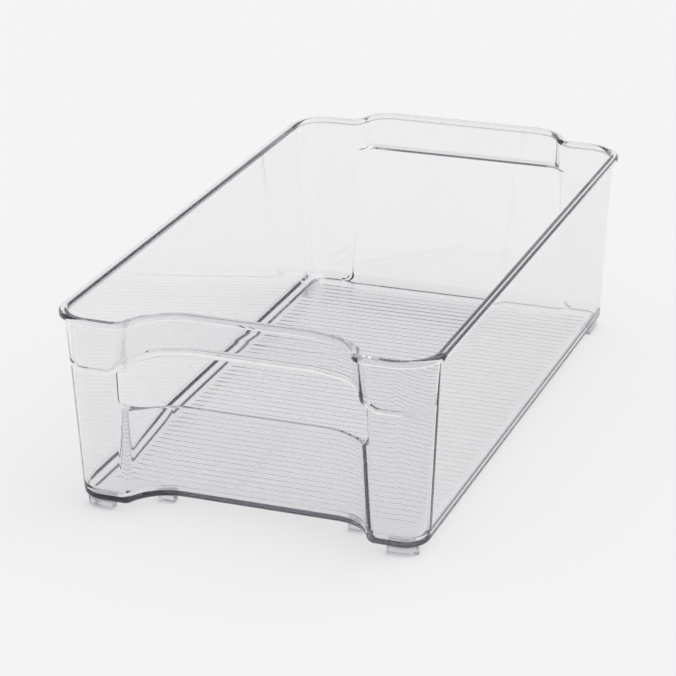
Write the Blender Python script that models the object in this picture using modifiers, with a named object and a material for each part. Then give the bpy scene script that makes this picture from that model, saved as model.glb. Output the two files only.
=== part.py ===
"""A clear plastic storage bin for a fridge shelf, standing on six small clear feet.

The body is one moulding. Its wall leans outward from the base to a flanged rim. The front
bends in between two corner posts, with a grip slot through the bent part, and the rear
bends out. Both bent parts rise a little above the rest of the rim, and fine ribs cross the
floor. X runs along the front, Y from front to rear and Z up. The origin lies under the
middle of the bin, where it stands.
"""

import math

import bmesh
import bpy
from mathutils import Vector

# Body, all in metres
RIM_WIDTH = 0.190
RIM_LENGTH = 0.327
RIM_CORNER_RADIUS = 0.020
BODY_HEIGHT = 0.096
WALL = 0.0020
WALL_LEAN = 0.0050
BASE_EDGE_ROUNDING = 0.0012
FLOOR = 0.0024
FLOOR_FILLET = 0.0046

# Rim flange
FLANGE_OVERHANG = 0.0027
FLANGE_HEIGHT = 0.0031
FLANGE_ROUNDING = 0.0006
HANDLE_RISE = 0.0030
FRONT_RISE_INSET = 0.0400
FRONT_RISE_RUN = 0.0260
REAR_RISE_INSET = 0.0300
REAR_RISE_RUN = 0.0220

# The bend between post and middle of each end: how far inside the rim's side it starts, how
# far it goes towards +Y, its radius at the post and its radius at the middle
FRONT_BEND_AT_BASE = (0.0315, 0.0160, 0.0050, 0.0220)
FRONT_BEND_AT_BAND = (0.0350, 0.0146, 0.0060, 0.0145)
REAR_BEND_AT_BASE = (0.0320, -0.0020, 0.0015, 0.0015)
REAR_BEND_UNDER_BAND = (0.0315, 0.0045, 0.0028, 0.0028)
REAR_BEND_ABOVE_BAND = (0.0310, 0.0090, 0.0085, 0.0090)
POST_RUN = 0.0030

# Raised band under the rim: the height of its lower line, how that line climbs from the
# front posts to the front's middle, and the sloping strip that leads out to the band
BAND_LINE_AT_POSTS = 0.0676
BAND_LINE_AT_FRONT = 0.0772
BAND_LINE_AT_REAR = 0.0785
BAND_CLIMB_RUN = 0.0335
BAND_CLIMB_POWER = 0.4
FRONT_STRIP_HEIGHT = 0.0036
REAR_STRIP_HEIGHT = 0.0023
BAND_STEP = 0.0008

# Grip slot through the front. Its ends lie a margin inside the posts, and its bottom drops
# a little towards them
SLOT_END_MARGIN = 0.0035
SLOT_BOTTOM = 0.0496
SLOT_END_DROP = 0.0016
SLOT_DROP_INSET = 0.0240
SLOT_DROP_RUN = 0.0140
SLOT_CORNER_RADIUS = 0.0060
SLOT_LIP = 0.0006
CUT_OVERRUN = 0.0060

# Ribs across the floor
RIB_PITCH = 0.0053
RIB_WIDTH = 0.0012
RIB_HEIGHT = 0.0004
RIB_SINK = 0.0006
RIB_FRONT_MARGIN = 0.0020
RIB_REAR_MARGIN = 0.0035
RIB_RUN_INTO_FILLET = 0.0022

# Feet
FOOT_HEIGHT = 0.0036
FOOT_DEPTH = 0.0050
FOOT_SETBACK = 0.0002
FOOT_ROUNDING = 0.0004
FRONT_FOOT_STRAIGHT = 0.0060
FRONT_FOOT_SWEEP = math.radians(55)
REAR_FOOT_STRAIGHT = 0.0125
REAR_FOOT_SWEEP = math.radians(35)
TAB_WIDTH = 0.0084
TAB_INSET = 0.0465

# Fit, fineness and look
FIT_GAP = 0.0003
MERGE_DISTANCE = 0.00001
TIGHTEST_RADIUS = 0.0003
STEEPEST_BEND = math.radians(80)
SHARP_ANGLE = math.radians(30)
ROUNDED_ANGLE = math.radians(40)
ROUNDING_SEGMENTS = 2
ARC_STEPS = 5
CORNER_STEPS = 7
FILLET_STEPS = 3
MIDDLE_STEPS = 8
BODY_COLOUR = (0.93, 0.94, 0.95)
BODY_ROUGHNESS = 0.04
FOOT_COLOUR = (0.90, 0.91, 0.93)
FOOT_ROUGHNESS = 0.10

# Worked out from the sizes above
BASE_Z = FOOT_HEIGHT + FIT_GAP
FLOOR_Z = BASE_Z + FLOOR
FLANGE_Z = BASE_Z + BODY_HEIGHT - FLANGE_HEIGHT
BAND_Z = BASE_Z + BAND_LINE_AT_FRONT
FRONT_LINE = -(RIM_LENGTH + REAR_BEND_ABOVE_BAND[1]) / 2
REAR_LINE = FRONT_LINE + RIM_LENGTH
BASE_INSET = FLANGE_OVERHANG + WALL_LEAN
RIM_SIDE = RIM_WIDTH / 2
CORNER_X = RIM_SIDE - RIM_CORNER_RADIUS
FRONT_CORNER_Y = FRONT_LINE + RIM_CORNER_RADIUS
REAR_CORNER_Y = REAR_LINE - RIM_CORNER_RADIUS
BASE_CORNER_RADIUS = RIM_CORNER_RADIUS - BASE_INSET
BAND_CLIMB_FOOT = RIM_SIDE - FRONT_BEND_AT_BASE[0]
SLOT_HALF_WIDTH = BAND_CLIMB_FOOT - SLOT_END_MARGIN
SLOT_DROP_START = SLOT_HALF_WIDTH - SLOT_DROP_INSET
FRONT_RISE_FOOT = RIM_SIDE - FRONT_RISE_INSET
REAR_RISE_FOOT = RIM_SIDE - REAR_RISE_INSET
END_POINTS = MIDDLE_STEPS + 2 * ARC_STEPS + 2


def clear_scene():
    """Leave nothing of the scene that the file opened with."""
    for thing in list(bpy.data.objects):
        bpy.data.objects.remove(thing, do_unlink=True)


def new_collection(name):
    """Add a collection to the scene."""
    collection = bpy.data.collections.new(name)
    bpy.context.scene.collection.children.link(collection)
    return collection


def clear_plastic(name, colour, roughness):
    """Colourless see-through moulding plastic."""
    material = bpy.data.materials.new(name)
    material.use_nodes = True
    shader = material.node_tree.nodes["Principled BSDF"]
    shader.inputs["Base Color"].default_value = (*colour, 1)
    shader.inputs["Roughness"].default_value = roughness
    shader.inputs["Metallic"].default_value = 0
    shader.inputs["Transmission Weight"].default_value = 1
    return material


def new_object(name, shape, collection, material=None):
    """Turn a bmesh into an object of its own."""
    mesh = bpy.data.meshes.new(name)
    shape.to_mesh(mesh)
    shape.free()
    thing = bpy.data.objects.new(name, mesh)
    collection.objects.link(thing)
    if material:
        mesh.materials.append(material)
    return thing


def eased(value, start, end):
    """Go from 0 at start to 1 at end, level at both."""
    share = min(max((value - start) / (end - start), 0), 1)
    return share * share * (3 - 2 * share)


def direction(angle):
    """Unit vector at an angle from +X."""
    return Vector((math.cos(angle), math.sin(angle)))


def arc(centre, radius, first, last, steps):
    """Points of an arc between two angles.

    Where an offset has used up the radius, the arc keeps the tightest one and slides back
    until it meets both of its straights again.
    """
    slide = max(TIGHTEST_RADIUS - radius, 0) / math.cos((last - first) / 2)
    centre = centre - slide * direction((first + last) / 2)
    radius = max(radius, TIGHTEST_RADIUS)
    return [centre + radius * direction(first + (last - first) * step / steps) for step in range(steps + 1)]


def bent_end(line, skin, bend):
    """Outline of one end from its middle at X zero to the corner post.

    line is the post's Y, and skin how far this outline lies from the wall's outer face
    towards +Y. The two arcs meet without a straight, and both grow where the bend would
    otherwise be too steep. A last point lies a short run out on the post's flat face.
    """
    inside, travel, post_radius, middle_radius = bend
    start = RIM_SIDE - inside
    turn = 1 if travel > 0 else -1
    depth = abs(travel)
    growth = max(depth / (1 - math.cos(STEEPEST_BEND)) / (post_radius + middle_radius), 1)
    post_radius *= growth
    middle_radius *= growth
    both = post_radius + middle_radius
    steepness = math.acos(1 - depth / both)
    middle_end = start - both * math.sin(steepness)
    points = [Vector((middle_end * step / MIDDLE_STEPS, depth + turn * skin)) for step in range(MIDDLE_STEPS)]
    up = math.radians(90)
    middle_centre = Vector((middle_end, depth - middle_radius))
    post_centre = Vector((start, post_radius))
    points += arc(middle_centre, middle_radius + turn * skin, up, up - steepness, ARC_STEPS)
    points += arc(post_centre, post_radius - turn * skin, -up - steepness, -up, ARC_STEPS)[1:]
    points.append(points[-1] + Vector((POST_RUN, 0)))
    return [Vector((point.x, line + turn * point.y)) for point in points]


def half_outline(inset, skin, front_bend, rear_bend):
    """Right half of a level outline, from the front's middle round to the rear's middle.

    inset is how far the wall's outer face lies inside the flange's edge, and skin how far
    this outline lies inside that face.
    """
    corner_radius = RIM_CORNER_RADIUS - inset - skin
    quarter = math.radians(90)
    front_corner = Vector((CORNER_X, FRONT_CORNER_Y))
    rear_corner = Vector((CORNER_X, REAR_CORNER_Y))
    points = bent_end(FRONT_LINE + inset, skin, front_bend)
    points += arc(front_corner, corner_radius, -quarter, 0, CORNER_STEPS)
    points += arc(rear_corner, corner_radius, 0, quarter, CORNER_STEPS)
    points += reversed(bent_end(REAR_LINE - inset, -skin, rear_bend))
    return points


def blend(first, second, shares):
    """Move each point of one outline towards the same point of another."""
    return [a.lerp(b, share) for a, b, share in zip(first, second, shares)]


def lean_inset(height):
    """How far the wall's outer face lies inside the flange's edge at a height above the table."""
    return FLANGE_OVERHANG + WALL_LEAN * (FLANGE_Z - height) / (FLANGE_Z - BASE_Z)


def band_heights(outline):
    """For each outline point: the band's lower line, the top of its strip, the rim's rise."""
    lines = []
    strip_tops = []
    rises = []
    for point in outline:
        if point.y < 0:
            climb = min(max((BAND_CLIMB_FOOT - point.x) / BAND_CLIMB_RUN, 0), 1)
            share = climb ** BAND_CLIMB_POWER
            line = BASE_Z + BAND_LINE_AT_POSTS + (BAND_LINE_AT_FRONT - BAND_LINE_AT_POSTS) * share
            strip_tops.append(line + FRONT_STRIP_HEIGHT)
            rises.append(HANDLE_RISE * eased(point.x, FRONT_RISE_FOOT, FRONT_RISE_FOOT - FRONT_RISE_RUN))
        else:
            line = BASE_Z + BAND_LINE_AT_REAR
            strip_tops.append(line + REAR_STRIP_HEIGHT)
            rises.append(HANDLE_RISE * eased(point.x, REAR_RISE_FOOT, REAR_RISE_FOOT - REAR_RISE_RUN))
        lines.append(line)
    return lines, strip_tops, rises


def wall_faces(skin):
    """The four outlines that one face of the wall is stretched between.

    The lower wall runs from the base to the band's height, and the band from there to the
    flange. Both go on past that height where the band's line lies lower.
    """
    fade = [1] * END_POINTS
    fade += [1 - eased(step, 0, CORNER_STEPS) for step in range(CORNER_STEPS + 1)]
    fade += [0] * (CORNER_STEPS + 1 + END_POINTS)
    at_band = lean_inset(BAND_Z)
    base = half_outline(BASE_INSET, skin, FRONT_BEND_AT_BASE, REAR_BEND_AT_BASE)
    plain = half_outline(at_band, skin, FRONT_BEND_AT_BAND, REAR_BEND_UNDER_BAND)
    stepped = half_outline(at_band + BAND_STEP, skin, FRONT_BEND_AT_BAND, REAR_BEND_UNDER_BAND)
    band = half_outline(at_band, skin, FRONT_BEND_AT_BAND, REAR_BEND_ABOVE_BAND)
    flange = half_outline(FLANGE_OVERHANG, skin, FRONT_BEND_AT_BAND, REAR_BEND_ABOVE_BAND)
    return base, blend(plain, stepped, fade), band, flange


def at_heights(lower, lower_z, upper, upper_z, heights):
    """Points of the face stretched between two outlines, each at its own height."""
    shares = [(height - lower_z) / (upper_z - lower_z) for height in heights]
    return [(*point, height) for point, height in zip(blend(lower, upper, shares), heights)]


def level(outline, heights):
    """An outline's points at the heights given."""
    return [(*point, height) for point, height in zip(outline, heights)]


def body_levels():
    """Half outlines that follow the section: under the base, up the wall, over, down and in."""
    outer_base, outer_head, outer_band, outer_flange = wall_faces(0)
    inner_base, inner_head, inner_band, inner_flange = wall_faces(WALL)
    lines, strip_tops, rises = band_heights(outer_band)
    flange_low = [FLANGE_Z + rise for rise in rises]
    flange_top = [low + FLANGE_HEIGHT for low in flange_low]

    def base_outline(skin):
        return half_outline(BASE_INSET, skin, FRONT_BEND_AT_BASE, REAR_BEND_AT_BASE)

    def flange_outline(skin):
        return half_outline(FLANGE_OVERHANG, skin, FRONT_BEND_AT_BAND, REAR_BEND_ABOVE_BAND)

    def raised(heights, amount):
        return [height + amount for height in heights]

    count = len(lines)
    edge = flange_outline(-FLANGE_OVERHANG)
    eased_edge = flange_outline(FLANGE_ROUNDING - FLANGE_OVERHANG)
    levels = [
        level(base_outline(BASE_EDGE_ROUNDING), [BASE_Z] * count),
        at_heights(outer_base, BASE_Z, outer_head, BAND_Z, [BASE_Z + BASE_EDGE_ROUNDING] * count),
        at_heights(outer_base, BASE_Z, outer_head, BAND_Z, lines),
        at_heights(outer_band, BAND_Z, outer_flange, FLANGE_Z, strip_tops),
        level(outer_flange, flange_low),
        level(eased_edge, flange_low),
        level(edge, raised(flange_low, FLANGE_ROUNDING)),
        level(edge, raised(flange_top, -FLANGE_ROUNDING)),
        level(eased_edge, flange_top),
        level(flange_outline(WALL - FLANGE_ROUNDING), flange_top),
        level(inner_flange, raised(flange_top, -FLANGE_ROUNDING)),
        at_heights(inner_band, BAND_Z, inner_flange, FLANGE_Z, strip_tops),
        at_heights(inner_base, BASE_Z, inner_head, BAND_Z, lines),
        at_heights(inner_base, BASE_Z, inner_head, BAND_Z, [FLOOR_Z + FLOOR_FILLET] * count),
    ]
    for step in range(1, FILLET_STEPS + 1):
        angle = math.radians(90) * step / FILLET_STEPS
        skin = WALL + FLOOR_FILLET * (1 - math.cos(angle))
        levels.append(level(base_outline(skin), [FLOOR_Z + FLOOR_FILLET * (1 - math.sin(angle))] * count))
    return levels


def loft(levels):
    """Faces between each level and the next, with the first closed below and the last above."""
    shape = bmesh.new()
    rows = [[shape.verts.new(point) for point in points] for points in levels]
    for low, high in zip(rows, rows[1:]):
        for at in range(len(low) - 1):
            shape.faces.new((low[at], low[at + 1], high[at + 1], high[at]))
    shape.faces.new(rows[0][::-1])
    shape.faces.new(rows[-1])
    return shape


def prism(outline, place, depth):
    """Close an outline, given by a function that places its points, and push it along depth."""
    shape = bmesh.new()
    face = shape.faces.new([shape.verts.new(place(point)) for point in outline])
    pushed = bmesh.ops.extrude_face_region(shape, geom=[face])["geom"]
    corners = [item for item in pushed if isinstance(item, bmesh.types.BMVert)]
    bmesh.ops.translate(shape, verts=corners, vec=depth)
    bmesh.ops.recalc_face_normals(shape, faces=shape.faces)
    return shape


def add_boolean(thing, cutter, operation):
    """Cut or join with another object, which then only shows as a guide."""
    modifier = thing.modifiers.new(f"{operation} {cutter.name}", "BOOLEAN")
    modifier.operation = operation
    modifier.object = cutter
    modifier.solver = "EXACT"
    cutter.hide_render = True
    cutter.display_type = "WIRE"


def make_slot_cutter(guides):
    """The grip slot's outline, pushed through the front.

    Its top follows the band's line, and its bottom drops a little towards the ends.
    """
    outer_band = wall_faces(0)[2]
    lines = band_heights(outer_band)[0]
    front_run = outer_band[:END_POINTS + CORNER_STEPS]
    ceiling = [Vector((point.x, line - SLOT_LIP)) for point, line in zip(front_run, lines)]
    top = [point for point in ceiling if point.x < SLOT_HALF_WIDTH]
    beyond = ceiling[len(top)]
    share = (SLOT_HALF_WIDTH - top[-1].x) / (beyond.x - top[-1].x)
    top.append(top[-1].lerp(beyond, share))
    quarter = math.radians(90)
    corner_x = SLOT_HALF_WIDTH - SLOT_CORNER_RADIUS
    corner = Vector((corner_x, BASE_Z + SLOT_BOTTOM - SLOT_END_DROP + SLOT_CORNER_RADIUS))
    turned = arc(corner, SLOT_CORNER_RADIUS, 0, -quarter, CORNER_STEPS)
    bottom = []
    for point in reversed(top):
        if 0 < point.x < min(corner_x, SLOT_DROP_START + SLOT_DROP_RUN):
            drop = SLOT_END_DROP * eased(point.x, SLOT_DROP_START, SLOT_DROP_START + SLOT_DROP_RUN)
            bottom.append(Vector((point.x, BASE_Z + SLOT_BOTTOM - drop)))
    right = top + turned + bottom
    left = [Vector((-point.x, point.y)) for point in reversed(right) if point.x > 0]
    start_y = FRONT_LINE - CUT_OVERRUN
    end_y = FRONT_LINE + BASE_INSET + FRONT_BEND_AT_BASE[1] + WALL + CUT_OVERRUN
    shape = prism(right + left, lambda point: (point.x, start_y, point.y), (0, end_y - start_y, 0))
    return new_object("slot_cutter", shape, guides)


def make_rib_guide(guides):
    """One bar across the floor, repeated from the front margin to the rear one."""
    first_y = FRONT_LINE + BASE_INSET + FRONT_BEND_AT_BASE[1] + WALL + FLOOR_FILLET + RIB_FRONT_MARGIN
    last_y = REAR_LINE - BASE_INSET + REAR_BEND_AT_BASE[1] - WALL - FLOOR_FILLET - RIB_REAR_MARGIN
    half_length = RIM_SIDE - BASE_INSET - WALL - FLOOR_FILLET + RIB_RUN_INTO_FILLET
    shape = bmesh.new()
    bmesh.ops.create_cube(shape, size=1)
    tall = RIB_HEIGHT + RIB_SINK
    bmesh.ops.scale(shape, verts=shape.verts, vec=(2 * half_length, RIB_WIDTH, tall))
    bmesh.ops.translate(shape, verts=shape.verts, vec=(0, first_y, FLOOR_Z + RIB_HEIGHT - tall / 2))
    ribs = new_object("rib_guide", shape, guides)
    row = ribs.modifiers.new("Row", "ARRAY")
    row.use_relative_offset = False
    row.use_constant_offset = True
    row.constant_offset_displace = (0, RIB_PITCH, 0)
    row.count = int((last_y - first_y) / RIB_PITCH) + 1
    return ribs


def make_body(collection, guides, material):
    """The moulded bin: half of it lofted and mirrored, then slotted and ribbed."""
    body = new_object("bin_body", loft(body_levels()), collection, material)
    mirror = body.modifiers.new("Other half", "MIRROR")
    mirror.use_axis = (True, False, False)
    mirror.use_clip = True
    mirror.merge_threshold = MERGE_DISTANCE
    add_boolean(body, make_slot_cutter(guides), "DIFFERENCE")
    add_boolean(body, make_rib_guide(guides), "UNION")
    body.data.shade_smooth()
    body.data.set_sharp_from_angle(angle=SHARP_ANGLE)
    return body


def add_rounding(thing, width):
    """Round the edges of a foot a little."""
    bevel = thing.modifiers.new("Rounding", "BEVEL")
    bevel.width = width
    bevel.segments = ROUNDING_SEGMENTS
    bevel.limit_method = "ANGLE"
    bevel.angle_limit = ROUNDED_ANGLE


def make_corner_foot(name, centre, straight, sweep, turn, side, collection, material):
    """A bar under the base's edge: a straight run, then some way round the corner.

    It is laid out at the front right corner, turned about the corner's centre, and
    mirrored where side is -1.
    """
    radius = BASE_CORNER_RADIUS - BASE_EDGE_ROUNDING - FOOT_SETBACK
    quarter = math.radians(90)
    origin = Vector((0, 0))
    outside = [Vector((-straight, -radius))] + arc(origin, radius, -quarter, sweep - quarter, CORNER_STEPS)
    inner_radius = radius - FOOT_DEPTH
    inside = [Vector((-straight, -inner_radius))] + arc(origin, inner_radius, -quarter, sweep - quarter, CORNER_STEPS)
    cosine = math.cos(turn)
    sine = math.sin(turn)

    def place(point):
        x = centre.x + cosine * point.x - sine * point.y
        y = centre.y + sine * point.x + cosine * point.y
        return (side * x, y, 0)

    shape = prism(outside + inside[::-1], place, (0, 0, FOOT_HEIGHT))
    add_rounding(new_object(name, shape, collection, material), FOOT_ROUNDING)


def make_tab(name, side, collection, material):
    """A short block under the bent part of the front's base edge."""
    outline = half_outline(BASE_INSET, BASE_EDGE_ROUNDING + FOOT_SETBACK, FRONT_BEND_AT_BASE, REAR_BEND_AT_BASE)
    front_y = max(point.y for point in outline[:MIDDLE_STEPS])
    shape = bmesh.new()
    bmesh.ops.create_cube(shape, size=1)
    bmesh.ops.scale(shape, verts=shape.verts, vec=(TAB_WIDTH, FOOT_DEPTH, FOOT_HEIGHT))
    middle = (side * (RIM_SIDE - TAB_INSET), front_y + FOOT_DEPTH / 2, FOOT_HEIGHT / 2)
    bmesh.ops.translate(shape, verts=shape.verts, vec=middle)
    add_rounding(new_object(name, shape, collection, material), FOOT_ROUNDING)


def build():
    """Make the whole bin."""
    clear_scene()
    bin_parts = new_collection("fridge_storage_bin")
    guides = new_collection("guides")
    body_plastic = clear_plastic("clear_body", BODY_COLOUR, BODY_ROUGHNESS)
    foot_plastic = clear_plastic("clear_feet", FOOT_COLOUR, FOOT_ROUGHNESS)
    make_body(bin_parts, guides, body_plastic)
    front_corner = Vector((CORNER_X, FRONT_CORNER_Y))
    rear_corner = Vector((CORNER_X, REAR_CORNER_Y))
    for word, side in (("right", 1), ("left", -1)):
        make_corner_foot(f"front_{word}_foot", front_corner, FRONT_FOOT_STRAIGHT, FRONT_FOOT_SWEEP,
                         0, side, bin_parts, foot_plastic)
        make_corner_foot(f"rear_{word}_foot", rear_corner, REAR_FOOT_STRAIGHT, REAR_FOOT_SWEEP,
                         math.radians(90), side, bin_parts, foot_plastic)
        make_tab(f"front_{word}_tab", side, bin_parts, foot_plastic)


build()
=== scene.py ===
"""The clear storage bin dressed for its picture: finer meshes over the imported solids, clear
moulding plastic, a pale table and soft light. Metres, +Z up, front towards -Y."""

import math

import bmesh
import bpy
from mathutils import Matrix, Vector


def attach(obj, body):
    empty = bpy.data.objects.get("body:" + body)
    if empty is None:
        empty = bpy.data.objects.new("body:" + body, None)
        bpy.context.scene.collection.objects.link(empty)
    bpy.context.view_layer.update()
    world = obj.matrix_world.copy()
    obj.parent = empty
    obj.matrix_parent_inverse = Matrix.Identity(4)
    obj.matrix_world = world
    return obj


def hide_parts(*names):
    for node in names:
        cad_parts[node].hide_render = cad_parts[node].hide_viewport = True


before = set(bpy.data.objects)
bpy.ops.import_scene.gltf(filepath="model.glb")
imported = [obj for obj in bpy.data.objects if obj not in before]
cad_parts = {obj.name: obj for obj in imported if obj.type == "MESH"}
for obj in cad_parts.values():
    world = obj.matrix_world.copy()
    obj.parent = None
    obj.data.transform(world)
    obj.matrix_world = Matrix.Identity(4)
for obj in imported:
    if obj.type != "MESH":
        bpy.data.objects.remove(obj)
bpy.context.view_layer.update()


# The bin's body. One injection moulding in clear, colourless plastic: floor, leaning walls, a
# band under the flanged rim, a grip slot in front. It is drawn as one half and mirrored, with
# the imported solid's sizes but finer arcs and with every moulded edge rounded.
RIM_WIDTH = 0.190
RIM_LENGTH = 0.327
RIM_CORNER_RADIUS = 0.020
BODY_HEIGHT = 0.096
WALL = 0.0020
WALL_LEAN = 0.0050
BASE_Z = 0.0039
BASE_EDGE_ROUNDING = 0.0034
FLOOR = 0.0024
FLOOR_Z = BASE_Z + FLOOR
FLOOR_FILLET = 0.0055

FLANGE_OVERHANG = 0.0027
FLANGE_HEIGHT = 0.0031
FLANGE_Z = BASE_Z + BODY_HEIGHT - FLANGE_HEIGHT

# How far the rim rises over the grips, and between which two X it does in front and behind
HANDLE_RISE = 0.0030
FRONT_RISE = (0.055, 0.029)
REAR_RISE = (0.065, 0.043)

# Each bend: where it starts, its travel towards +Y, its radius at the post and at the middle
FRONT_BEND_AT_BASE = (0.0635, 0.0160, 0.0050, 0.0220)
FRONT_BEND_AT_BAND = (0.0630, 0.0146, 0.0070, 0.0140)
REAR_BEND_AT_BASE = (0.0630, -0.0020, 0.0015, 0.0015)
REAR_BEND_UNDER_BAND = (0.0640, 0.0052, 0.0060, 0.0100)
REAR_BEND_ABOVE_BAND = (0.0640, 0.0090, 0.0085, 0.0090)
TIGHTEST_RADIUS = 0.0003
STEEPEST_BEND = math.radians(80)

# Places along the half outline are stations: its eleven runs counted from the front's middle,
# three for the front's bend, a straight, the front corner, the long side, and so on to the rear
POST_RUN = 2
CORNER_RUN = 4
SIDE_RUN = 5

# The band's lower line, the two X between which it climbs in front, and how far it stands out
BAND_LINE_AT_POSTS = BASE_Z + 0.0676
BAND_LINE_AT_FRONT = BASE_Z + 0.0772
BAND_LINE_AT_REAR = BASE_Z + 0.0785
BAND_CLIMB = (0.0635, 0.0300)
BAND_CLIMB_POWER = 0.4
BAND_STEP = 0.0008

# The sloping strip that leads out to the band, each value for the front and for the rear
STRIP_HEIGHT = (0.0018, 0.0008)
STRIP_ROUNDING = (0.0005, 0.0004)
INNER_STRIP_LIFT = (0.0020, 0.0018)

# Below the rim the mould's inner half is not quite parallel to its outer one: its corners are
# tighter and its bends sit a little deeper, so the wall is thicker there and bends the light
CORNER_FILLING = 0.0007
BEND_FILLING = 0.0015
RADIUS_FOR_FILLING = 3 * BEND_FILLING

FRONT_LINE = -(RIM_LENGTH + REAR_BEND_ABOVE_BAND[1]) / 2
REAR_LINE = FRONT_LINE + RIM_LENGTH
BASE_INSET = FLANGE_OVERHANG + WALL_LEAN
CORNER_X = RIM_WIDTH / 2 - RIM_CORNER_RADIUS
FRONT_CORNER = Vector((CORNER_X, FRONT_LINE + RIM_CORNER_RADIUS))
REAR_CORNER = Vector((CORNER_X, REAR_LINE - RIM_CORNER_RADIUS))
QUARTER = math.radians(90)


def eased(value, start, end):
    """Go from 0 at start to 1 at end, level at both."""
    share = min(max((value - start) / (end - start), 0), 1)
    return share * share * (3 - 2 * share)


def direction(angle):
    """Unit vector at an angle from +X."""
    return Vector((math.cos(angle), math.sin(angle)))


def arc_run(centre, radius, first, last):
    """An arc as a run: it gives the point at a share of its way. A radius that is used up stays
    at the tightest one, and its centre slides back."""
    slide = max(TIGHTEST_RADIUS - radius, 0) / math.cos((last - first) / 2)
    middle = centre - slide * direction((first + last) / 2)
    kept = max(radius, TIGHTEST_RADIUS)
    return lambda share: middle + kept * direction(first + (last - first) * share)


def straight_run(start, end):
    """A straight run between two points."""
    return lambda share: start.lerp(end, share)


def bent_end(line, skin, bend, filling):
    """One end's three runs, from its middle out to the post: straight, middle arc, post arc."""
    start, travel, post_radius, middle_radius = bend
    turn = 1 if travel > 0 else -1
    depth = abs(travel)
    growth = max(depth / (1 - math.cos(STEEPEST_BEND)) / (post_radius + middle_radius), 1)
    post_radius *= growth
    middle_radius *= growth
    both = post_radius + middle_radius
    steepness = math.acos(1 - depth / both)
    middle_end = start - both * math.sin(steepness)
    filling *= min(1, post_radius / RADIUS_FOR_FILLING, middle_radius / RADIUS_FOR_FILLING)
    middle_y = depth + turn * skin
    shapes = [
        straight_run(Vector((0, middle_y)), Vector((middle_end, middle_y))),
        arc_run(Vector((middle_end, depth - middle_radius + filling)),
                middle_radius + turn * skin - filling, QUARTER, QUARTER - steepness),
        arc_run(Vector((start, post_radius + filling)),
                post_radius - turn * skin + filling, -QUARTER - steepness, -QUARTER),
    ]

    def placed(shape):
        return lambda share: Vector((shape(share).x, line + turn * shape(share).y))

    return [placed(shape) for shape in shapes]


def half_outline(inset, skin, front_bend, rear_bend):
    """The right half of a level outline as eleven runs, from the front's middle to the rear's.
    inset is measured from the rim's outline, and skin from the wall's outer face."""
    inner = skin >= WALL and inset > FLANGE_OVERHANG
    filling = CORNER_FILLING if inner else 0
    radius = RIM_CORNER_RADIUS - inset - skin - filling
    front = bent_end(FRONT_LINE + inset, skin, front_bend, -BEND_FILLING if inner else 0)
    rear = bent_end(REAR_LINE - inset, -skin, rear_bend, BEND_FILLING if inner else 0)
    front_corner = arc_run(FRONT_CORNER + Vector((filling, -filling)), radius, -QUARTER, 0)
    rear_corner = arc_run(REAR_CORNER + Vector((filling, filling)), radius, 0, QUARTER)
    runs = front + [
        straight_run(front[2](1), front_corner(0)),
        front_corner,
        straight_run(front_corner(1), rear_corner(0)),
        rear_corner,
        straight_run(rear_corner(1), rear[2](1)),
    ]
    runs += [lambda share, run=run: run(1 - share) for run in reversed(rear)]

    def point_at(station):
        run = min(int(station), len(runs) - 1)
        return runs[run](station - run)

    return point_at


def base_outline(skin):
    """The wall's outline at the base, skin inside its outer face."""
    return half_outline(BASE_INSET, skin, FRONT_BEND_AT_BASE, REAR_BEND_AT_BASE)


def flange_outline(skin):
    """The wall's outline at the rim."""
    return half_outline(FLANGE_OVERHANG, skin, FRONT_BEND_AT_BAND, REAR_BEND_ABOVE_BAND)


# How far inside the rim's outline the leaning wall lies where the band starts
AT_BAND = FLANGE_OVERHANG + WALL_LEAN * (FLANGE_Z - BAND_LINE_AT_FRONT) / (FLANGE_Z - BASE_Z)


def lower_wall(skin):
    """The wall below the band, as a point for a station and a height."""
    base = base_outline(skin)
    plain = half_outline(AT_BAND, skin, FRONT_BEND_AT_BAND, REAR_BEND_UNDER_BAND)
    stepped = half_outline(AT_BAND + BAND_STEP, skin, FRONT_BEND_AT_BAND, REAR_BEND_UNDER_BAND)

    def point_at(station, height):
        head = plain(station).lerp(stepped(station), 1 - eased(station, CORNER_RUN, SIDE_RUN))
        share = (height - BASE_Z) / (BAND_LINE_AT_FRONT - BASE_Z)
        return Vector((*base(station).lerp(head, share), height))

    return point_at


def band_wall(skin):
    """The wall of the band, likewise."""
    foot = half_outline(AT_BAND, skin, FRONT_BEND_AT_BAND, REAR_BEND_ABOVE_BAND)
    head = flange_outline(skin)

    def point_at(station, height):
        share = (height - BAND_LINE_AT_FRONT) / (FLANGE_Z - BAND_LINE_AT_FRONT)
        return Vector((*foot(station).lerp(head(station), share), height))

    return point_at


# Stations along the half outline: how many steps each of its eleven runs gets
RUN_STEPS = (10, 14, 12, 4, 16, 10, 16, 4, 12, 12, 8)
stations = [run + step / steps for run, steps in enumerate(RUN_STEPS) for step in range(steps)]
stations.append(len(RUN_STEPS))
band_foot = half_outline(AT_BAND, 0, FRONT_BEND_AT_BAND, REAR_BEND_ABOVE_BAND)


def along_side(station, values):
    """Go from the front's value to the rear's along the long side."""
    front, rear = values
    return front + (rear - front) * min(max(station - SIDE_RUN, 0), 1)


def band_line(station):
    """Height of the band's lower line: it climbs from the front posts to the front's middle."""
    if station < SIDE_RUN:
        x = band_foot(station).x
        climb = min(max((BAND_CLIMB[0] - x) / (BAND_CLIMB[0] - BAND_CLIMB[1]), 0), 1)
        climbed = (BAND_LINE_AT_FRONT - BAND_LINE_AT_POSTS) * climb ** BAND_CLIMB_POWER
        return BAND_LINE_AT_POSTS + climbed
    return along_side(station, (BAND_LINE_AT_POSTS, BAND_LINE_AT_REAR))


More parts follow.
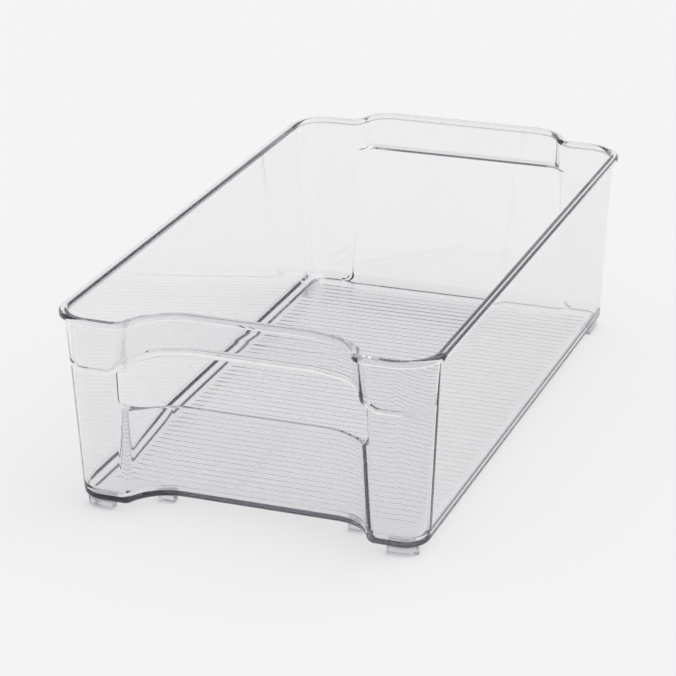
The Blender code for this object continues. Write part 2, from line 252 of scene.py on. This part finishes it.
def strip_foot(station, skin):
    """Height at which the strip starts: on the inner face it lies higher."""
    lift = along_side(station, INNER_STRIP_LIFT) if skin >= WALL else 0
    return band_line(station) + lift


def rim_rise(station):
    """How far the rim lies above its height along the sides."""
    reach = FRONT_RISE if station < SIDE_RUN + 0.5 else REAR_RISE
    return HANDLE_RISE * eased(band_foot(station).x, *reach)


def rounded_corner(before, corner, after, reach, steps=4):
    """Points of a small curve that cuts a corner, from reach before it to reach after it."""
    first = corner + (before - corner).normalized() * min(reach, (before - corner).length / 2)
    last = corner + (after - corner).normalized() * min(reach, (after - corner).length / 2)
    points = []
    for step in range(steps + 1):
        share = step / steps
        points.append(first.lerp(corner, share).lerp(corner.lerp(last, share), share))
    return points


# Rows up the wall, as shares of its height up to the band's line. The grip slot's window takes
# the even ones above WINDOW_FOOT
LINE_MARGIN = 0.0002
WALL_ROWS = (0.0, 0.03, 0.08, 0.16, 0.25, 0.34, 0.42, 0.47)
WINDOW_FOOT = 0.50
WINDOW_ROWS = 22
BAND_ROWS = (0.25, 0.5, 0.75)


def wall_rows(skin, low):
    """Rows up one face of the wall, from a height up to just under the flange's own height."""
    below = lower_wall(skin)
    above = band_wall(skin)
    shares = list(WALL_ROWS)
    for step in range(WINDOW_ROWS + 1):
        shares.append(WINDOW_FOOT + (1 - WINDOW_FOOT) * step / WINDOW_ROWS)
    columns = []
    for station in stations:
        line = strip_foot(station, skin)
        top = line + along_side(station, STRIP_HEIGHT)
        head = FLANGE_Z + rim_rise(station)
        column = [below(station, low + (line - LINE_MARGIN - low) * share) for share in shares]
        foot = below(station, line)
        knee = above(station, top)
        reach = along_side(station, STRIP_ROUNDING)
        column += rounded_corner(column[-1], foot, knee, reach)[1:]
        column += rounded_corner(foot, knee, above(station, head), reach)
        column += [above(station, top + (head - top) * share) for share in BAND_ROWS]
        columns.append(column)
    return [list(row) for row in zip(*columns)]


FLANGE_UNDER_ROUNDING = 0.0003
FLANGE_TOP_ROUNDING = 0.0015
FLANGE_INNER_ROUNDING = 0.0017
FLANGE_FILLET = 0.0003
ROUNDING_STEPS = 5
FILLET_STEPS = 8


def turned_rows(skin, height, radius, first, last):
    """Rows of one rounded edge of the flange: skin and height are the rounding's centre."""
    rows = []
    for step in range(ROUNDING_STEPS + 1):
        angle = first + (last - first) * step / ROUNDING_STEPS
        place = flange_outline(skin - radius * math.cos(angle))
        lift = height + radius * math.sin(angle)
        rows.append([Vector((*place(station), lift + rim_rise(station))) for station in stations])
    return rows


def body_rows():
    """All rows of the half body: under the base, up the outside, over the rim, down inside."""
    rows = []
    for step in range(ROUNDING_STEPS):
        angle = QUARTER * step / ROUNDING_STEPS
        face = lower_wall(BASE_EDGE_ROUNDING * (1 - math.sin(angle)))
        height = BASE_Z + BASE_EDGE_ROUNDING * (1 - math.cos(angle))
        rows.append([face(station, height) for station in stations])
    outer_start = len(rows)
    rows += wall_rows(0, BASE_Z + BASE_EDGE_ROUNDING)
    edge = -FLANGE_OVERHANG
    top = FLANGE_Z + FLANGE_HEIGHT
    under, over, inner = FLANGE_UNDER_ROUNDING, FLANGE_TOP_ROUNDING, FLANGE_INNER_ROUNDING
    for skin, height, radius, first, last in (
        (-FLANGE_FILLET, FLANGE_Z - FLANGE_FILLET, FLANGE_FILLET, 2, 1),
        (edge + under, FLANGE_Z + under, under, -1, 0),
        (edge + over, top - over, over, 0, 1),
        (WALL - inner, top - inner, inner, 1, 2),
    ):
        rows += turned_rows(skin, height, radius, first * QUARTER, last * QUARTER)
    inside = wall_rows(WALL, FLOOR_Z + FLOOR_FILLET)
    rows += reversed(inside)
    inner_end = len(rows)
    for step in range(1, FILLET_STEPS + 1):
        angle = QUARTER * step / FILLET_STEPS
        face = lower_wall(WALL + FLOOR_FILLET * (1 - math.cos(angle)))
        height = FLOOR_Z + FLOOR_FILLET * (1 - math.sin(angle))
        rows.append([face(station, height) for station in stations])
    return rows, outer_start, inner_end


# The grip slot: its outline in X and Z, and the rounding where it meets the wall's two faces,
# small along its sides and bottom and smaller still under the band
SLOT_HALF_WIDTH = 0.0618
SLOT_BOTTOM = BASE_Z + 0.0496
SLOT_END_DROP = 0.0016
SLOT_DROP = (0.0360, 0.0500)
SLOT_CORNER_RADIUS = 0.0090
SLOT_TOP_RADIUS = 0.0012
SLOT_LIP = 0.0006
SLOT_ROUNDING = 0.0003
SLOT_TOP_ROUNDING = 0.0002
SLOT_ROUNDING_RUN = 0.0060

# Its mesh: the wall's column where its window ends, how many stations before the slot's end the
# columns close up, the steps of its outline, and the rings from the window's border to its edge
SLOT_COLUMN = sum(RUN_STEPS[:POST_RUN + 1])
SLOT_SQUEEZE = 0.4
SLOT_PARTS = 40
SLOT_TURN_STEPS = 20
SLOT_TOP_STEPS = 6
SLOT_BLENDS = (0.25, 0.45, 0.62, 0.76, 0.87, 0.95, 1.0)

# How often the searches for a place on the wall halve or correct it, and how near is there
HALVINGS = 40
CORRECTIONS = 6
NEAR = 1e-12


def slot_outline():
    """The slot's right half in three runs: along the top, down the side, back along the bottom."""
    top = []
    for part in range(CORNER_RUN * SLOT_PARTS):
        station = part / SLOT_PARTS
        x = band_foot(station).x
        if x < SLOT_HALF_WIDTH - SLOT_TOP_RADIUS:
            top.append(Vector((x, band_line(station) - SLOT_LIP)))
    slope = (top[-1] - top[-2]).normalized()
    corner = top[-1] + slope * ((SLOT_HALF_WIDTH - top[-1].x) / slope.x)
    below = corner - Vector((0, 1))
    top_turn = rounded_corner(top[-1], corner, below, SLOT_TOP_RADIUS, SLOT_TOP_STEPS)
    centre = Vector((SLOT_HALF_WIDTH - SLOT_CORNER_RADIUS,
                     SLOT_BOTTOM - SLOT_END_DROP + SLOT_CORNER_RADIUS))
    corner_arc = arc_run(centre, SLOT_CORNER_RADIUS, 0, -QUARTER)
    low_turn = [corner_arc(step / SLOT_TURN_STEPS) for step in range(SLOT_TURN_STEPS + 1)]
    half = SLOT_TURN_STEPS // 2
    side = top_turn + low_turn[:half + 1]
    bottom = low_turn[half:]
    for part in range(1, SLOT_PARTS + 1):
        x = low_turn[-1].x * (1 - part / SLOT_PARTS)
        drop = SLOT_END_DROP * eased(x, *SLOT_DROP)
        bottom.append(Vector((x, SLOT_BOTTOM - drop)))
    return top + top_turn[:1], side, bottom


def along(line, shares):
    """Points at shares of a line's length."""
    lengths = [0]
    for first, second in zip(line, line[1:]):
        lengths.append(lengths[-1] + (second - first).length)
    points = []
    for share in shares:
        goal = share * lengths[-1]
        at = next((i for i in range(1, len(line)) if lengths[i] >= goal - NEAR), len(line) - 1)
        span = lengths[at] - lengths[at - 1]
        points.append(line[at - 1].lerp(line[at], (goal - lengths[at - 1]) / span if span else 0))
    return points


def length_shares(points):
    """How far along its own line each point lies, from 0 to 1."""
    lengths = [0]
    for first, second in zip(points, points[1:]):
        lengths.append(lengths[-1] + (second - first).length)
    return [length / lengths[-1] for length in lengths]


def station_for(face, x, height):
    """The station at which a face of the front wall has this X."""
    low, high = 0, CORNER_RUN
    for _ in range(HALVINGS):
        middle = (low + high) / 2
        if face(middle, height).x < x:
            low = middle
        else:
            high = middle
    return (low + high) / 2


def slot_columns(face, line):
    """Points of a slot line under or over the wall's own columns, so that the mesh follows
    the bend. The last columns close up, so that they end where the line ends."""
    if line[0].x > line[-1].x:
        line = line[::-1]
    end = station_for(face, line[-1].x, line[-1].y)
    first = min(POST_RUN, end - SLOT_SQUEEZE)
    points = []
    for station in stations[:SLOT_COLUMN + 1]:
        if station > first:
            station = first + (station - first) * (end - first) / (stations[SLOT_COLUMN] - first)
        point = line[0]
        for _ in range(CORRECTIONS):
            x = min(max(face(station, point.y).x, line[0].x), line[-1].x)
            at = next((i for i in range(1, len(line)) if line[i].x >= x), len(line) - 1)
            span = line[at].x - line[at - 1].x
            point = line[at - 1].lerp(line[at], min((x - line[at - 1].x) / span, 1) if span else 0)
        points.append(point)
    points[-1] = line[-1]
    return points


def slot_rings(window, skin, low, sign):
    """Rings from the window's border to the slot's wall, on one face. sign is 1 outside."""
    face = lower_wall(skin)
    top_row, side_column, bottom_row = window
    top, side, bottom = slot_outline()
    outline = slot_columns(face, top)
    outline += along(side, length_shares(side_column))[1:]
    outline += slot_columns(face, bottom)[-2::-1]
    border = top_row + side_column[1:] + bottom_row[1:]
    normals = []
    for at in range(len(outline)):
        step = outline[min(at + 1, len(outline) - 1)] - outline[max(at - 1, 0)]
        normals.append(Vector((-step.y, step.x)).normalized())
    normals[0] = Vector((0, 1))
    normals[-1] = Vector((0, -1))
    roundings = []
    for point in outline:
        drop = band_line(station_for(face, point.x, point.y)) - SLOT_LIP - point.y
        share = eased(drop, 0, SLOT_ROUNDING_RUN)
        roundings.append(SLOT_TOP_ROUNDING + (SLOT_ROUNDING - SLOT_TOP_ROUNDING) * share)

    def on_face(point):
        return face(station_for(face, point.x, point.y), point.y)

    def place(point):
        """Station and share of the window's own grid."""
        station = station_for(face, point.x, point.y)
        return station, (point.y - low) / (strip_foot(station, skin) - LINE_MARGIN - low)

    rings = []
    edge = list(zip(outline, normals, roundings))
    rim = [place(point + size * normal) for point, normal, size in edge]
    ends = [place(Vector((point.x, point.z))) for point in border]
    for blend in SLOT_BLENDS:
        ring = []
        for start, end in zip(ends, rim):
            station = start[0] + (end[0] - start[0]) * blend
            share = start[1] + (end[1] - start[1]) * blend
            height = low + (strip_foot(station, skin) - LINE_MARGIN - low) * share
            ring.append(face(station, height))
        rings.append(ring)
    for step in range(1, ROUNDING_STEPS):
        angle = QUARTER * step / (ROUNDING_STEPS - 1)
        ring = []
        for point, normal, size in edge:
            place_now = on_face(point + size * (1 - math.sin(angle)) * normal)
            ring.append(place_now + Vector((0, sign * size * (1 - math.cos(angle)), 0)))
        rings.append(ring)
    for ring in rings:
        ring[0].x = 0
        ring[-1].x = 0
    return rings


# Fine ribs across the floor, moulded on it
RIB_PITCH = 0.0053
RIB_HALF_WIDTH = 0.0008
RIB_HEIGHT = 0.00014
RIB_SHAPE = (-1.0, -0.66, -0.33, 0.0, 0.33, 0.66, 1.0)
RIB_FRONT_MARGIN = 0.0020
RIB_REAR_MARGIN = 0.0035
RIB_END_MARGIN = 0.0004
RIB_COLUMNS = (0, 0.02, 0.04, 0.06)
RIB_END_RUN = 0.0022
RIB_END_COLUMNS = (RIB_END_RUN, 0.0015, 0.0008, 0)


def rib_rows(floor_row):
    """Rows of the ribbed patch, from front to rear, each from the middle to its right end."""
    first_y = floor_row[0].y + RIB_FRONT_MARGIN
    last_y = floor_row[-1].y - RIB_REAR_MARGIN
    end_x = max(point.x for point in floor_row) - RIB_END_MARGIN
    across = [*RIB_COLUMNS, *(end_x - run for run in RIB_END_COLUMNS)]
    rows = []
    for rib in range(int((last_y - first_y) / RIB_PITCH) + 1):
        for place in RIB_SHAPE:
            y = first_y + rib * RIB_PITCH + place * RIB_HALF_WIDTH
            height = RIB_HEIGHT * (0.5 + 0.5 * math.cos(math.pi * place))
            lifts = [height * eased(end_x - x, 0, RIB_END_RUN) for x in across]
            rows.append([Vector((x, y, FLOOR_Z + lift)) for x, lift in zip(across, lifts)])
    return rows


def make_body():
    """Join rows, slot and floor into the right half of the body."""
    shape = bmesh.new()
    rows, outer_start, inner_end = body_rows()
    for row in rows:
        row[0].x = 0
        row[-1].x = 0
    corners = [[shape.verts.new(point) for point in row] for row in rows]

    # Faces between the rows, left open where the slot's two windows are
    foot = len(WALL_ROWS)
    outer = (outer_start + foot, outer_start + foot + WINDOW_ROWS)
    inner = (inner_end - 1 - foot - WINDOW_ROWS, inner_end - 1 - foot)
    for at, (low, high) in enumerate(zip(corners, corners[1:])):
        open_here = outer[0] <= at < outer[1] or inner[0] <= at < inner[1]
        for side in range(SLOT_COLUMN if open_here else 0, len(low) - 1):
            shape.faces.new((low[side], low[side + 1], high[side + 1], high[side]))

    def window(top_at, bottom_at):
        """A window's border: along its top, down its side and back along its bottom."""
        step = 1 if bottom_at > top_at else -1
        top_row = [rows[top_at][side] for side in range(SLOT_COLUMN + 1)]
        column = [rows[at][SLOT_COLUMN] for at in range(top_at, bottom_at + step, step)]
        bottom_row = [rows[bottom_at][side] for side in range(SLOT_COLUMN, -1, -1)]
        border = [corners[top_at][side] for side in range(SLOT_COLUMN + 1)]
        border += [corners[at][SLOT_COLUMN] for at in range(top_at + step, bottom_at + step, step)]
        border += [corners[bottom_at][side] for side in range(SLOT_COLUMN - 1, -1, -1)]
        return (top_row, column, bottom_row), border

    # The slot, in rings from the outer window's border through the wall to the inner one's
    outer_window, outer_border = window(outer[1], outer[0])
    inner_window, inner_border = window(inner[0], inner[1])
    outside = slot_rings(outer_window, 0, BASE_Z + BASE_EDGE_ROUNDING, 1)
    inside = slot_rings(inner_window, WALL, FLOOR_Z + FLOOR_FILLET, -1)
    rings = [outer_border]
    rings += [[shape.verts.new(point) for point in ring] for ring in outside + inside[::-1]]
    rings.append(inner_border)
    for near, far in zip(rings, rings[1:]):
        for at in range(len(near) - 1):
            shape.faces.new((near[at], far[at], far[at + 1], near[at + 1]))

    # The underside, the ribs, and the floor's border round them
    shape.faces.new(corners[0][::-1])
    ribs = [[shape.verts.new(point) for point in row] for row in rib_rows(rows[-1])]
    for low, high in zip(ribs, ribs[1:]):
        for at in range(len(low) - 1):
            shape.faces.new((low[at], low[at + 1], high[at + 1], high[at]))
    rest = corners[-1] + ribs[-1] + [row[-1] for row in ribs[-2:0:-1]] + ribs[0][::-1]
    shape.faces.new(rest)
    return shape


def piece_from(name, shape):
    """Turn a bmesh into a shown object."""
    mesh = bpy.data.meshes.new(name)
    shape.to_mesh(mesh)
    shape.free()
    mesh.shade_smooth()
    piece = bpy.data.objects.new(name, mesh)
    bpy.context.scene.collection.objects.link(piece)
    return piece


FLAT_FACE_WEIGHT = 80


def even_shading(piece):
    """Keep flat faces flat in the shading, so that only the rounded edges bend the light."""
    weights = piece.modifiers.new("Even shading", "WEIGHTED_NORMAL")
    weights.weight = FLAT_FACE_WEIGHT
    weights.keep_sharp = True


SHARP_EDGE = math.radians(50)
SEAM_REACH = 0.00001
moulded_bin = piece_from("moulded_bin", make_body())
moulded_bin.data.set_sharp_from_angle(angle=SHARP_EDGE)
other_half = moulded_bin.modifiers.new("Other half", "MIRROR")
other_half.use_axis = (True, False, False)
other_half.use_clip = True
other_half.merge_threshold = SEAM_REACH
even_shading(moulded_bin)


def moulding_surface_group():
    """Effects that all the clear pieces share: a faint waviness from the mould, uneven polish
    and a slight change of tint where the plastic flowed."""
    group = bpy.data.node_groups.new("Moulding surface", "ShaderNodeTree")
    plug = group.interface.new_socket
    for name, start in (("Wave Scale", 18.0), ("Polish Scale", 160.0), ("Least Roughness", 0.01),
                        ("Most Roughness", 0.05)):
        plug(name, in_out="INPUT", socket_type="NodeSocketFloat").default_value = start
    for name in ("Clear Tint", "Flow Tint"):
        plug(name, in_out="INPUT", socket_type="NodeSocketColor").default_value = (1, 1, 1, 1)
    plug("Color", in_out="OUTPUT", socket_type="NodeSocketColor")
    plug("Roughness", in_out="OUTPUT", socket_type="NodeSocketFloat")
    plug("Height", in_out="OUTPUT", socket_type="NodeSocketFloat")
    nodes = group.nodes
    link = group.links.new
    given = nodes.new("NodeGroupInput")
    result = nodes.new("NodeGroupOutput")
    place = nodes.new("ShaderNodeTexCoord")
    wave = nodes.new("ShaderNodeTexNoise")
    wave.inputs["Detail"].default_value = 1.5
    link(place.outputs["Object"], wave.inputs["Vector"])
    link(given.outputs["Wave Scale"], wave.inputs["Scale"])
    polish = nodes.new("ShaderNodeTexNoise")
    polish.inputs["Detail"].default_value = 4
    link(place.outputs["Object"], polish.inputs["Vector"])
    link(given.outputs["Polish Scale"], polish.inputs["Scale"])
    spread = nodes.new("ShaderNodeMapRange")
    link(polish.outputs["Fac"], spread.inputs["Value"])
    spread.inputs["From Min"].default_value = 0.35
    spread.inputs["From Max"].default_value = 0.70
    link(given.outputs["Least Roughness"], spread.inputs["To Min"])
    link(given.outputs["Most Roughness"], spread.inputs["To Max"])
    tint = nodes.new("ShaderNodeMix")
    tint.data_type = "RGBA"
    link(wave.outputs["Fac"], tint.inputs["Factor"])
    link(given.outputs["Clear Tint"], tint.inputs["A"])
    link(given.outputs["Flow Tint"], tint.inputs["B"])
    link(tint.outputs["Result"], result.inputs["Color"])
    link(spread.outputs["Result"], result.inputs["Roughness"])
    link(wave.outputs["Fac"], result.inputs["Height"])
    return group


moulding_surface = moulding_surface_group()
PLASTIC_IOR = 1.50


def clear_plastic(name, tints, roughness, wave_depth, lamp_tint, depth_colour, depth_density):
    """Clear moulding plastic. Rays from lamps go straight through it, so that its shadow is
    soft and pale as under the real one, and its own depth takes a little of the light."""
    material = bpy.data.materials.new(name)
    material.use_nodes = True
    nodes = material.node_tree.nodes
    link = material.node_tree.links.new
    shader = nodes["Principled BSDF"]
    output = nodes["Material Output"]
    surface = nodes.new("ShaderNodeGroup")
    surface.node_tree = moulding_surface
    for word, tint in zip(("Clear Tint", "Flow Tint"), tints):
        surface.inputs[word].default_value = (*tint, 1)
    for word, value in zip(("Least Roughness", "Most Roughness"), roughness):
        surface.inputs[word].default_value = value
    bump = nodes.new("ShaderNodeBump")
    bump.inputs["Strength"].default_value = 1
    bump.inputs["Distance"].default_value = wave_depth
    link(surface.outputs["Color"], shader.inputs["Base Color"])
    link(surface.outputs["Roughness"], shader.inputs["Roughness"])
    link(surface.outputs["Height"], bump.inputs["Height"])
    link(bump.outputs["Normal"], shader.inputs["Normal"])
    shader.inputs["Metallic"].default_value = 0
    shader.inputs["Transmission Weight"].default_value = 1
    shader.inputs["IOR"].default_value = PLASTIC_IOR
    path = nodes.new("ShaderNodeLightPath")
    through = nodes.new("ShaderNodeMath")
    through.operation = "MAXIMUM"
    link(path.outputs["Is Shadow Ray"], through.inputs[0])
    link(path.outputs["Is Diffuse Ray"], through.inputs[1])
    passing = nodes.new("ShaderNodeBsdfTransparent")
    passing.inputs["Color"].default_value = (*lamp_tint, 1)
    either = nodes.new("ShaderNodeMixShader")
    link(through.outputs["Value"], either.inputs["Fac"])
    link(shader.outputs["BSDF"], either.inputs[1])
    link(passing.outputs["BSDF"], either.inputs[2])
    link(either.outputs["Shader"], output.inputs["Surface"])
    depth = nodes.new("ShaderNodeVolumeAbsorption")
    depth.inputs["Color"].default_value = (*depth_colour, 1)
    depth.inputs["Density"].default_value = depth_density
    link(depth.outputs["Volume"], output.inputs["Volume"])
    return material


body_plastic = clear_plastic(
    "clear_body_plastic",
    tints=((0.970, 0.970, 0.972), (0.961, 0.961, 0.964)),
    roughness=(0.0, 0.035),
    wave_depth=0.00002,
    lamp_tint=(0.950, 0.950, 0.953),
    depth_colour=(0.60, 0.60, 0.65),
    depth_density=25.0,
)
moulded_bin.data.materials.append(body_plastic)
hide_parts("bin_body")
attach(moulded_bin, "root")


# The four corner feet. Short clear bars under the base's corners, moulded with their edges
# softened. Each follows the base's edge round its corner and reaches up to the base.
FOOT_GAP = 0.00005
FOOT_TOP = BASE_Z - FOOT_GAP
FOOT_DEPTH = 0.0050
FOOT_SETBACK = 0.0014
FOOT_ROUNDING = 0.0004
FOOT_STEPS = 14
BASE_CORNER_RADIUS = RIM_CORNER_RADIUS - BASE_INSET

# The length of each foot's straight part, and how far it goes round the corner
FRONT_FOOT = (0.0060, math.radians(55))
REAR_FOOT = (0.0125, math.radians(35))

foot_plastic = clear_plastic(
    "clear_foot_plastic",
    tints=((0.97, 0.97, 0.973), (0.95, 0.95, 0.955)),
    roughness=(0.0, 0.02),
    wave_depth=0.00003,
    lamp_tint=(0.88, 0.88, 0.885),
    depth_colour=(0.55, 0.55, 0.59),
    depth_density=70.0,
)


def soften(piece, width):
    """Round a foot's edges and even its shading."""
    rounding = piece.modifiers.new("Rounding", "BEVEL")
    rounding.width = width
    rounding.segments = 4
    rounding.limit_method = "ANGLE"
    rounding.angle_limit = math.radians(40)
    even_shading(piece)


def pushed_up(outline, top):
    """Close a level outline and push it up from the table."""
    shape = bmesh.new()
    low, high = ([shape.verts.new((*point, height)) for point in outline] for height in (0, top))
    shape.faces.new(low)
    shape.faces.new(high)
    for at in range(len(low)):
        shape.faces.new((low[at - 1], low[at], high[at], high[at - 1]))
    bmesh.ops.recalc_face_normals(shape, faces=shape.faces)
    return shape


def make_corner_foot(node, corner, straight, sweep, turn, side):
    """One foot, laid out at the front right corner, turned about its centre and mirrored."""
    radius = BASE_CORNER_RADIUS - FOOT_SETBACK
    outside = arc_run(Vector((0, 0)), radius, -QUARTER, sweep - QUARTER)
    inside = arc_run(Vector((0, 0)), radius - FOOT_DEPTH, -QUARTER, sweep - QUARTER)
    shares = [step / FOOT_STEPS for step in range(FOOT_STEPS + 1)]
    points = [Vector((-straight, -radius))]
    points += [outside(share) for share in shares]
    points += [inside(share) for share in reversed(shares)]
    points.append(Vector((-straight, FOOT_DEPTH - radius)))
    placed = []
    for point in points:
        x = corner.x + math.cos(turn) * point.x - math.sin(turn) * point.y
        y = corner.y + math.sin(turn) * point.x + math.cos(turn) * point.y
        placed.append((side * x, y))
    foot = piece_from(f"{node}_clear", pushed_up(placed, FOOT_TOP))
    soften(foot, FOOT_ROUNDING)
    foot.data.materials.append(foot_plastic)
    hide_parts(node)
    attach(foot, "root")


for word, side in (("right", 1), ("left", -1)):
    make_corner_foot(f"front_{word}_foot", FRONT_CORNER, *FRONT_FOOT, 0, side)
    make_corner_foot(f"rear_{word}_foot", REAR_CORNER, *REAR_FOOT, QUARTER, side)


# The two front tabs. Small clear blocks under the bent-in part of the front edge.
TAB_WIDTH = 0.0084
TAB_CENTRE = 0.0485
tab_front = base_outline(FOOT_SETBACK)(0).y
tab_rear = tab_front + FOOT_DEPTH
for word, side in (("right", 1), ("left", -1)):
    start = side * TAB_CENTRE - TAB_WIDTH / 2
    end = side * TAB_CENTRE + TAB_WIDTH / 2
    tab_outline = [(start, tab_front), (end, tab_front), (end, tab_rear), (start, tab_rear)]
    tab = piece_from(f"front_{word}_tab_clear", pushed_up(tab_outline, FOOT_TOP))
    soften(tab, FOOT_ROUNDING)
    tab.data.materials.append(foot_plastic)
    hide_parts(f"front_{word}_tab")
    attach(tab, "root")


# The table: one wide pale sheet that the bin stands on, evenly lit up to the picture's edge.
TABLE_HALF = 6.0
TABLE_DROP = 0.0001
TABLE_COLOUR = (0.905, 0.905, 0.905, 1)
sheet_shape = bmesh.new()
bmesh.ops.create_grid(sheet_shape, x_segments=4, y_segments=4, size=TABLE_HALF)
bmesh.ops.translate(sheet_shape, verts=sheet_shape.verts, vec=(0, 0, -TABLE_DROP))
table_top = piece_from("table_top", sheet_shape)
table_paint = bpy.data.materials.new("table_paint")
table_paint.use_nodes = True
paint = table_paint.node_tree.nodes["Principled BSDF"]
paint.inputs["Base Color"].default_value = TABLE_COLOUR
paint.inputs["Roughness"].default_value = 1
paint.inputs["Specular IOR Level"].default_value = 0
table_top.data.materials.append(table_paint)


# Light: an even pale room and a broad soft sun from high on the right, behind the bin. The
# plastic reflects and refracts a room that is pale at eye level and dark overhead.
ROOM_LIGHT = (0.62, 0.62, 0.62, 1)
ROOM_SHADES = (
    (0.00, (0.95, 0.95, 0.95, 1)),
    (0.35, (0.90, 0.90, 0.91, 1)),
    (0.70, (0.20, 0.20, 0.23, 1)),
    (1.00, (0.10, 0.10, 0.12, 1)),
)
SUN_LIGHT = 1.40
SUN_SPREAD = math.radians(60)
SUN_FROM = Vector((0.50, 0.35, 1.0))
room = bpy.data.worlds.new("room")
bpy.context.scene.world = room
room.use_nodes = True
room_nodes = room.node_tree.nodes
room_link = room.node_tree.links.new
backdrop = room_nodes["Background"]
backdrop.inputs["Strength"].default_value = 1
room_path = room_nodes.new("ShaderNodeLightPath")
room_way = room_nodes.new("ShaderNodeTexCoord")
room_split = room_nodes.new("ShaderNodeSeparateXYZ")
room_link(room_way.outputs["Generated"], room_split.inputs["Vector"])
room_ramp = room_nodes.new("ShaderNodeValToRGB")
room_link(room_split.outputs["Z"], room_ramp.inputs["Fac"])
marks = room_ramp.color_ramp.elements
for mark, (height, shade) in zip((marks[0], marks[1]), (ROOM_SHADES[0], ROOM_SHADES[-1])):
    mark.position = height
    mark.color = shade
for height, shade in ROOM_SHADES[1:-1]:
    marks.new(height).color = shade
seen = room_nodes.new("ShaderNodeMath")
seen.operation = "MAXIMUM"
room_link(room_path.outputs["Is Glossy Ray"], seen.inputs[0])
room_link(room_path.outputs["Is Transmission Ray"], seen.inputs[1])
by_ray = room_nodes.new("ShaderNodeMix")
by_ray.data_type = "RGBA"
by_ray.inputs["A"].default_value = ROOM_LIGHT
room_link(seen.outputs["Value"], by_ray.inputs["Factor"])
room_link(room_ramp.outputs["Color"], by_ray.inputs["B"])
pale = room_nodes.new("ShaderNodeMix")
pale.data_type = "RGBA"
pale.inputs["B"].default_value = TABLE_COLOUR
room_link(room_path.outputs["Is Camera Ray"], pale.inputs["Factor"])
room_link(by_ray.outputs["Result"], pale.inputs["A"])
room_link(pale.outputs["Result"], backdrop.inputs["Color"])

sun = bpy.data.lights.new("soft_sun", "SUN")
sun.energy = SUN_LIGHT
sun.angle = SUN_SPREAD
sun_lamp = bpy.data.objects.new("soft_sun", sun)
sun_lamp.rotation_euler = SUN_FROM.to_track_quat("Z", "Y").to_euler()
bpy.context.scene.collection.objects.link(sun_lamp)


# The camera, at the photograph's angle: from the front right, looking down, almost level.
CAMERA_TURN = math.radians(21.02)
CAMERA_HEIGHT = math.radians(22.39)
CAMERA_ROLL = math.radians(-0.76)
CAMERA_DISTANCE = 1.29185
LOOKED_AT = Vector((0.00315, -0.04502, 0.0539))
SENSOR = 36
LENS = 138.53

backwards = Vector((math.sin(CAMERA_TURN) * math.cos(CAMERA_HEIGHT),
                    -math.cos(CAMERA_TURN) * math.cos(CAMERA_HEIGHT), math.sin(CAMERA_HEIGHT)))
level_right = Vector((math.cos(CAMERA_TURN), math.sin(CAMERA_TURN), 0))
level_up = backwards.cross(level_right)
right = math.cos(CAMERA_ROLL) * level_right + math.sin(CAMERA_ROLL) * level_up
up = math.cos(CAMERA_ROLL) * level_up - math.sin(CAMERA_ROLL) * level_right
lens = bpy.data.cameras.new("camera")
lens.sensor_fit = "HORIZONTAL"
lens.sensor_width = SENSOR
lens.lens = LENS
camera = bpy.data.objects.new("camera", lens)
bpy.context.scene.collection.objects.link(camera)
place = LOOKED_AT + CAMERA_DISTANCE * backwards
camera.matrix_world = Matrix((
    (right.x, up.x, backwards.x, place.x),
    (right.y, up.y, backwards.y, place.y),
    (right.z, up.z, backwards.z, place.z),
    (0, 0, 0, 1),
))
bpy.context.scene.camera = camera
bpy.context.scene.view_settings.view_transform = "Standard"

# Light runs a long way inside the clear walls before it leaves at an edge
LIGHT_BOUNCES = 110
cycles = bpy.context.scene.cycles
cycles.max_bounces = LIGHT_BOUNCES
cycles.transmission_bounces = LIGHT_BOUNCES
cycles.glossy_bounces = LIGHT_BOUNCES
